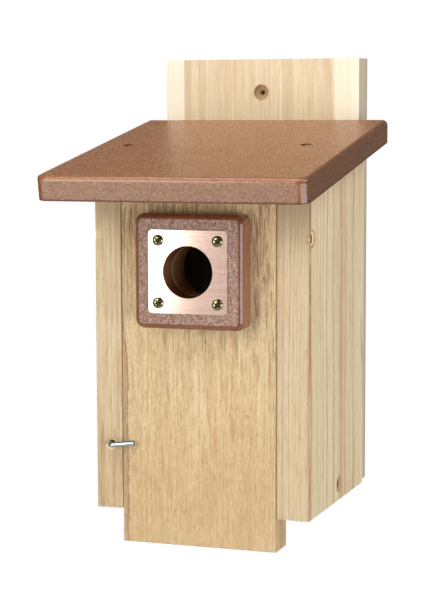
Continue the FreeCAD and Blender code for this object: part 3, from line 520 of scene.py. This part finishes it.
def roof_material():
    m, col, v, mid, fine = plastic_base("roof_plastic", (0.310, 0.130, 0.052), (0.48, 0.25, 0.13), (0.15, 0.052, 0.020))
    cs, sn = math.cos(SLOPE), math.sin(SLOPE)
    top = m.smooth(facing(m, (0, -sn, cs)), 0.955, 0.995)
    end = m.smooth(m.math("ABSOLUTE", facing(m, (0, cs, sn))), 0.955, 0.995)
    side = m.math("ABSOLUTE", facing(m, (1, 0, 0)))
    flat = m.math("MAXIMUM", m.math("MAXIMUM", top, end), m.math("MULTIPLY", m.smooth(side, 0.955, 0.995), 0.6), clamp=True)
    col = m.mix(m.math("MULTIPLY", m.math("SUBTRACT", 1.0, flat), 0.55), col, (0.235, 0.080, 0.030))
    grit = m.noise(v, scale=0.75, detail=4, rough=0.75)
    bloom = m.mix(m.smooth(grit, 0.42, 0.60), (0.185, 0.088, 0.047), (0.30, 0.188, 0.130))
    col = m.mix(m.math("MULTIPLY", end, 0.80), col, bloom)
    col = m.mix(m.smooth(side, 0.10, 0.75, 0.0, 0.86), col, m.mix(m.smooth(grit, 0.42, 0.62), (0.065, 0.021, 0.008), (0.17, 0.080, 0.038)))
    x, y, z = m.xyz()
    w = m.math("SUBTRACT", m.math("MULTIPLY", z, cs), m.math("MULTIPLY", y, sn))
    w = m.math("MULTIPLY", m.math("ADD", w, 0.035436), 1000.0)  # millimetres above the underside
    rag = m.noise(m.scaled(0.40, 0.40, 0.40), detail=4, rough=0.7)
    wj = m.math("ADD", w, m.math("MULTIPLY", m.math("SUBTRACT", rag, 0.5), 2.2))
    upright = m.smooth(m.math("ABSOLUTE", facing(m, (0, -sn, cs))), 0.80, 0.55)
    burr = m.math("MULTIPLY", m.smooth(wj, 1.9, 1.3, 0.0, 0.92), upright)
    col = m.mix(burr, col, (0.10, 0.022, 0.010))
    m.link(col, m.bsdf.inputs["Base Color"])
    h = m.math("ADD", m.math("MULTIPLY", mid, 1.0), m.math("MULTIPLY", grit, 0.6))
    m.link(m.math("ADD", m.smooth(fine, 0.3, 0.7, 0.10, 0.17), m.math("MULTIPLY", flat, 0.13)), m.bsdf.inputs["Roughness"])
    m.bsdf.inputs["Specular IOR Level"].default_value = 0.5
    b = m.bump(h, 0.55, 1.0)
    m.link(m.math("MULTIPLY_ADD", flat, 0.95, 0.05), b.node.inputs["Strength"])
    m.link(b, m.bsdf.inputs["Normal"])
    return m.mat


def block_material():
    m, col, v, mid, fine = plastic_base("block_plastic", (0.175, 0.056, 0.022), (0.25, 0.10, 0.05), (0.085, 0.024, 0.010), 0.7)
    skin = m.smooth(m.math("ABSOLUTE", facing(m, (0, 1, 0))), 0.965, 0.995)
    # painted sheen on the skin: a mauve veil with pale glints where its wormy relief would catch the light and dark
    # specks where it would not; the veil's base is partly the skin's own tone
    wob = m.noise(m.scaled(0.50, 0.50, 0.42), detail=4, rough=0.72, distortion=1.3)
    glint_and_relief = m.noise(m.scaled(0.80, 0.80, 0.62, shift=(2, 1, 0)), detail=3, rough=0.68, distortion=1.8)
    skin_tone_and_sheen = m.mix(m.smooth(wob, 0.45, 0.58), (0.205, 0.088, 0.050), (0.37, 0.235, 0.18))
    skin_tone_and_sheen = m.mix(m.smooth(glint_and_relief, 0.51, 0.60, 0.0, 0.80), skin_tone_and_sheen, (0.62, 0.50, 0.44))
    skin_tone_and_sheen = m.mix(m.smooth(glint_and_relief, 0.47, 0.38, 0.0, 0.6), skin_tone_and_sheen, (0.20, 0.078, 0.038))
    col = m.mix(m.math("MULTIPLY", skin, 0.82), col, skin_tone_and_sheen)
    flank = m.smooth(m.math("ABSOLUTE", facing(m, (1, 0, 0))), 0.80, 0.97, 0.0, 0.5)
    col = m.mix(flank, col, m.mix(m.smooth(fine, 0.4, 0.6), (0.24, 0.105, 0.052), (0.42, 0.22, 0.13)))
    # painted shade: the bore's wall is darkened
    bore_shade = m.smooth(radial(m, "Y", -0.002, -0.1305), 19.2, 19.4, 0.35, 0.0)
    col = m.mix(bore_shade, col, (0.085, 0.030, 0.014))
    m.link(col, m.bsdf.inputs["Base Color"])
    h = m.math("ADD", m.math("MULTIPLY", mid, 0.4), m.math("MULTIPLY", wob, 1.2))
    h = m.math("ADD", h, m.math("MULTIPLY", glint_and_relief, 1.0))
    m.link(m.math("ADD", m.smooth(fine, 0.3, 0.7, 0.09, 0.15), m.math("MULTIPLY", skin, 0.11)), m.bsdf.inputs["Roughness"])
    m.bsdf.inputs["Specular IOR Level"].default_value = 0.5
    b = m.bump(h, 0.50, 1.0)
    m.link(m.math("MULTIPLY_ADD", skin, 0.95, 0.05), b.node.inputs["Strength"])
    m.link(b, m.bsdf.inputs["Normal"])
    return m.mat


mats["roof"] = roof_material()
mats["entrance_block"] = block_material()


# ----------------------------------------------------------------------------------------
# Metals
# ----------------------------------------------------------------------------------------
def copper():
    m = Nodes("copper_brushed")
    m.bsdf.inputs["Metallic"].default_value = 1.0
    color = (0.94, 0.68, 0.58)
    lines = m.noise(m.scaled(0.03, 1.2, 1.25), detail=5, rough=0.8)
    wide = m.noise(m.scaled(0.012, 0.4, 0.45, shift=(3, 0, 0)), detail=3, rough=0.65)
    cloud = m.noise(m.scaled(0.06, 0.1, 0.12), detail=3, rough=0.5)
    col = m.mix(m.smooth(lines, 0.46, 0.60, 0.0, 0.55), color, (0.66, 0.39, 0.29))
    col = m.mix(m.smooth(wide, 0.50, 0.70, 0.0, 0.22), col, (0.76, 0.46, 0.36))
    col = m.mix(m.smooth(cloud, 0.45, 0.75, 0.0, 0.25), col, (0.86, 0.52, 0.42))
    m.link(col, m.bsdf.inputs["Base Color"])
    m.link(m.smooth(lines, 0.3, 0.7, 0.10, 0.15), m.bsdf.inputs["Roughness"])
    m.bsdf.inputs["Anisotropic"].default_value = 0.8
    m.bsdf.inputs["Anisotropic Rotation"].default_value = 0.25
    m.link(m.bump(lines, 0.010, 0.6), m.bsdf.inputs["Normal"])
    return m.mat


def metal(name, color, rough, stain, stain_amount=0.2, grime=0.0, bump=0.02):
    m = Nodes(name)
    m.bsdf.inputs["Metallic"].default_value = 1.0
    n1 = m.noise(m.scaled(0.35, 0.35, 0.35), detail=4, rough=0.6)
    col = m.mix(m.smooth(n1, 0.42, 0.75, 0.0, stain_amount), color, stain)
    fine = m.noise(m.scaled(2.5, 2.5, 2.5), detail=3, rough=0.6)
    if grime:
        g = m.noise(m.scaled(0.9, 0.9, 0.9, shift=(4, 4, 4)), detail=4, rough=0.7)
        col = m.mix(m.smooth(g, 0.5, 0.75, 0.0, grime), col, tuple(c * 0.25 for c in color))
    m.link(m.bump(fine, bump, 0.5), m.bsdf.inputs["Normal"])
    m.link(col, m.bsdf.inputs["Base Color"])
    m.link(m.smooth(n1, 0.3, 0.7, rough * 0.85, rough * 1.25), m.bsdf.inputs["Roughness"])
    return m.mat


mats["copper_portal"] = copper()
yellow_zinc = metal("zinc_yellow", (0.23, 0.215, 0.115), 0.11, (0.10, 0.125, 0.055), 0.6, grime=0.5)
zinc = metal("zinc_bright", (0.55, 0.54, 0.50), 0.30, (0.38, 0.37, 0.34), 0.4, grime=0.4)
mats["latch_nail"] = metal("zinc_nail", (0.34, 0.39, 0.42), 0.10, (0.25, 0.30, 0.33), 0.45, bump=0.03)
pivot_zinc = metal("zinc_pivot", (0.80, 0.74, 0.60), 0.32, (0.62, 0.52, 0.36), 0.5, grime=0.3)
mats["right_pivot_screw"] = pivot_zinc
mats["left_pivot_screw"] = metal("zinc_dull", (0.42, 0.33, 0.23), 0.45, (0.30, 0.22, 0.14), 0.5, grime=0.4)
for n in ("floor_side_screws", "floor_back_screws", "left_back_screws",
          "right_back_screws", "roof_screws"):
    mats[n] = zinc

m = Nodes("pale_floor")
m.bsdf.inputs["Roughness"].default_value = 0.9
m.bsdf.inputs["Specular IOR Level"].default_value = 0.1
m.bsdf.inputs["Emission Color"].default_value = (1, 1, 1, 1)
m.bsdf.inputs["Emission Strength"].default_value = 0.30
fn = m.noise(m.scaled(0.004, 0.004, 0.004), detail=4)
m.link(m.mix(fn, (0.80, 0.80, 0.79), (0.85, 0.85, 0.84)), m.bsdf.inputs["Base Color"])
floor_mesh.materials.append(m.mat)

for node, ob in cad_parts.items():
    if node in mats:
        for slot in ob.material_slots:
            slot.material = mats[node]


# ----------------------------------------------------------------------------------------
# Pieces built here
# ----------------------------------------------------------------------------------------
def add_object(name, mesh, material, body, slot, *stands_for):
    ob = bpy.data.objects.new(name, mesh)
    scene.collection.objects.link(ob)
    mesh.materials.clear()
    mesh.materials.append(material)
    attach(ob, body)
    if stands_for:
        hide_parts(*stands_for)
    return ob


def lathe(bm, profile, steps, closed_axis=True):
    """Turn (radius, z) points about Z. A point of radius 0 becomes a pole."""
    rings = []
    for rad, z in profile:
        if rad <= 1e-9:
            rings.append([bm.verts.new((0, 0, z))])
        else:
            rings.append([bm.verts.new((rad * math.cos(2 * math.pi * i / steps), rad * math.sin(2 * math.pi * i / steps), z)) for i in range(steps)])
    for a, b in zip(rings, rings[1:]):
        for i in range(steps):
            j = (i + 1) % steps
            if len(a) == 1 and len(b) > 1:
                bm.faces.new((a[0], b[j], b[i]))
            elif len(b) == 1 and len(a) > 1:
                bm.faces.new((a[i], a[j], b[0]))
            elif len(a) > 1:
                bm.faces.new((a[i], a[j], b[j], b[i]))


def pan_screw_mesh(radius, high, length, shank_r, turn):
    """A pan-head screw, its head's top at z=0 and the shank going down, with a cross recess."""
    bm = bmesh.new()
    prof = [(0.0, 0.0)]
    for k in range(1, 13):
        t = k / 12
        rad = radius * math.sin(t * math.pi / 2) ** 0.92
        prof.append((rad, -high * 0.80 * (1 - math.cos(t * math.pi / 2)) ** 1.15))
    prof += [(radius, -high * 0.88), (radius * 0.985, -high * 0.97), (radius * 0.95, -high), (shank_r, -high)]
    pitch = 1.8
    z = -high
    while z > -high - length + 5.0:
        prof += [(shank_r, z - 0.2), (shank_r * 0.74, z - 0.9), (shank_r * 0.74, z - 1.3), (shank_r, z - pitch)]
        z -= pitch
    prof += [(shank_r * 0.7, -high - length + 2.2), (0.0, -high - length)]
    lathe(bm, [(a * 0.001, b * 0.001) for a, b in prof], 40)
    bmesh.ops.recalc_face_normals(bm, faces=bm.faces)
    body = bpy.data.meshes.new("pan_body")
    bm.to_mesh(body)
    bm.free()
    # the cross recess: four tapering wings with eased inner corners
    bm = bmesh.new()

    def plus(long, half, ease, z):
        pts = []
        for q in range(4):
            a = q * math.pi / 2 + turn
            c, s = math.cos(a), math.sin(a)
            for px, py in ((half + ease, half), (long, half), (long, -half), (half + ease, -half)):
                pts.append((px, py))
            quad = pts[-4:]
            pts = pts[:-4]
            for px, py in reversed(quad):
                pts.append((px * c - py * s, px * s + py * c))
        return [bm.verts.new((px * 0.001, py * 0.001, z * 0.001)) for px, py in pts]

    levels = [plus(2.35, 0.62, 0.30, 0.6), plus(2.25, 0.60, 0.28, 0.0), plus(1.75, 0.52, 0.20, -0.9), plus(0.85, 0.40, 0.12, -1.9)]
    n = len(levels[0])
    for a, b in zip(levels, levels[1:]):
        for i in range(n):
            bm.faces.new((a[i], a[(i + 1) % n], b[(i + 1) % n], b[i]))
    tip = bm.verts.new((0, 0, -0.0024))
    for i in range(n):
        bm.faces.new((levels[-1][i], levels[-1][(i + 1) % n], tip))
    top = bm.verts.new((0, 0, 0.0006))
    for i in range(n):
        bm.faces.new((levels[0][(i + 1) % n], levels[0][i], top))
    bmesh.ops.recalc_face_normals(bm, faces=bm.faces)
    cut = bpy.data.meshes.new("pan_cut")
    bm.to_mesh(cut)
    bm.free()
    a = bpy.data.objects.new("tmp_body", body)
    b = bpy.data.objects.new("tmp_cut", cut)
    scene.collection.objects.link(a)
    scene.collection.objects.link(b)
    mod = a.modifiers.new("cut", "BOOLEAN")
    mod.operation = "DIFFERENCE"
    mod.solver = "EXACT"
    mod.object = b
    dg = bpy.context.evaluated_depsgraph_get()
    mesh = bpy.data.meshes.new_from_object(a.evaluated_get(dg))
    bpy.data.objects.remove(a)
    bpy.data.objects.remove(b)
    bpy.data.meshes.remove(body)
    bpy.data.meshes.remove(cut)
    return mesh


lo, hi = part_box("portal_screws")
radius = 4.15
head_y = lo[1]
corners = [(lo[0] + 0.00415, hi[2] - 0.00415), (hi[0] - 0.00415, hi[2] - 0.00415),
           (lo[0] + 0.00415, lo[2] + 0.00415), (hi[0] - 0.00415, lo[2] + 0.00415)]
bm = bmesh.new()
for (cx, cz), turn in zip(corners, (0.55, 0.85, 0.35, 1.0)):
    me = pan_screw_mesh(radius, 2.3, 30.0, 1.9, turn)
    me.transform(Matrix.Translation((cx, head_y, cz)) @ Matrix.Rotation(math.radians(90), 4, "X"))
    bm.from_mesh(me)
    bpy.data.meshes.remove(me)
heads = bpy.data.meshes.new("portal_screw_set")
bm.to_mesh(heads)
bm.free()
for p in heads.polygons:
    p.use_smooth = True
add_object("portal_screw_set", heads, yellow_zinc, "door", "zinc_yellow", "portal_screws")
heads.set_sharp_from_angle(angle=math.radians(32))


# Fibres torn up by the saw: small tapering splinters rooted in the wood
def splinter(bm, root, along, out, length, rad, curl, lift):
    """One fibre: it leaves the wood at its root, lies along the grain and curls outward."""
    along, out = along.normalized(), out.normalized()
    side = along.cross(out).normalized()
    n = 5
    rings = []
    for k in range(n):
        t = k / (n - 1)
        c = root + along * (length * t) + out * (-0.25 * rad + lift * t + curl * t * t)
        r = rad * (1.0 - 0.82 * t)
        ring = []
        for q in range(4):
            a = math.pi / 4 + q * math.pi / 2
            ring.append(bm.verts.new(c + side * (r * math.cos(a)) + out * (0.55 * r * math.sin(a))))
        rings.append(ring)
    for a, b in zip(rings, rings[1:]):
        for i in range(4):
            bm.faces.new((a[i], a[(i + 1) % 4], b[(i + 1) % 4], b[i]))
    bm.faces.new(rings[0][::-1])
    bm.faces.new(rings[-1])


def fibres(name, material, body, slot, jobs):
    bm = bmesh.new()
    for args in jobs:
        splinter(bm, *args)
    bmesh.ops.recalc_face_normals(bm, faces=bm.faces)
    me = bpy.data.meshes.new(name)
    bm.to_mesh(me)
    bm.free()
    return add_object(name, me, material, body, slot)


rnd = random.Random(31)
DLO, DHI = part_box("front_door")
FRONT = DLO[1]
jobs = []
while len(jobs) < 1300:
    px = rnd.uniform(DLO[0] + 0.0006, DHI[0] - 0.0006)
    pz = rnd.uniform(DLO[2] + 0.008, DHI[2] - 0.006)
    if -0.047 < px < 0.043 and -0.176 < pz < -0.085:
        continue
    down = -1 if rnd.random() < 0.7 else 1
    length = rnd.uniform(0.0014, 0.0050)
    along = Vector((rnd.gauss(0, 0.16), 0, down))
    jobs.append((Vector((px, FRONT, pz)), along, Vector((0, -1, 0)), length, rnd.uniform(0.00016, 0.00036), rnd.uniform(0.0, 0.0004), rnd.uniform(0.00005, 0.00040)))
# the torn strip's edge
for k in range(70):
    pz = rnd.uniform(-0.330, -0.185)
    px = DLO[0] + rnd.uniform(0.0016, 0.0046)
    along = Vector((rnd.uniform(-0.35, 0.05), 0, -1 if rnd.random() < 0.6 else 1))
    jobs.append((Vector((px, FRONT, pz)), along, Vector((0, -1, 0)), rnd.uniform(0.003, 0.010), rnd.uniform(0.0002, 0.0004), 0.0003, 0.0002))
# whiskers along the sawn bottom and left edges
for k in range(46):
    px = rnd.uniform(DLO[0] + 0.001, DHI[0] - 0.001)
    along = Vector((rnd.uniform(-0.6, 0.6), -1, rnd.uniform(0.0, 0.5)))
    jobs.append((Vector((px, FRONT + 0.0004, DLO[2] + 0.0008)), along, Vector((0, 0, 1)), rnd.uniform(0.0010, 0.0026), rnd.uniform(0.00014, 0.00026), 0.0, 0.0003))
for k in range(40):
    pz = rnd.uniform(DLO[2] + 0.003, -0.175)
    along = Vector((-1, rnd.uniform(-0.5, 0.0), rnd.choice((-1, 1)) * rnd.uniform(0.8, 3.0)))
    jobs.append((Vector((DLO[0] + 0.0004, FRONT + 0.0004, pz)), along, Vector((0, -1, 0)), rnd.uniform(0.0012, 0.0040), rnd.uniform(0.00014, 0.00026), 0.0, 0.0003))
fibres("door_fibres", mats["front_door"], "door", "cedar_rough", jobs)

# fibres left hanging where the sides were cut across the grain
for node in ("left_side", "right_side"):
    lo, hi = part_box(node)
    jobs = []
    for k in range(84):
        if rnd.random() < 0.62:
            px, py = rnd.uniform(lo[0] + 0.0006, hi[0] - 0.0006), lo[1] + rnd.uniform(0.0002, 0.0012)
        else:
            px = (hi[0] if node == "right_side" else lo[0]) + (-1 if node == "right_side" else 1) * rnd.uniform(0.0002, 0.0012)
            py = rnd.uniform(lo[1] + 0.0006, hi[1] - 0.002)
        along = Vector((rnd.gauss(0, 0.35), rnd.gauss(0, 0.35), -1))
        jobs.append((Vector((px, py, lo[2] + 0.0009)), along, Vector((0, -1, 0)), rnd.uniform(0.0011, 0.0011 + 0.0022 * rnd.random()), rnd.uniform(0.00014, 0.00026), 0.0, rnd.uniform(-0.0004, 0.0006)))
    fibres(node + "_fibres", mats[node], "box", "cedar_smooth", jobs)
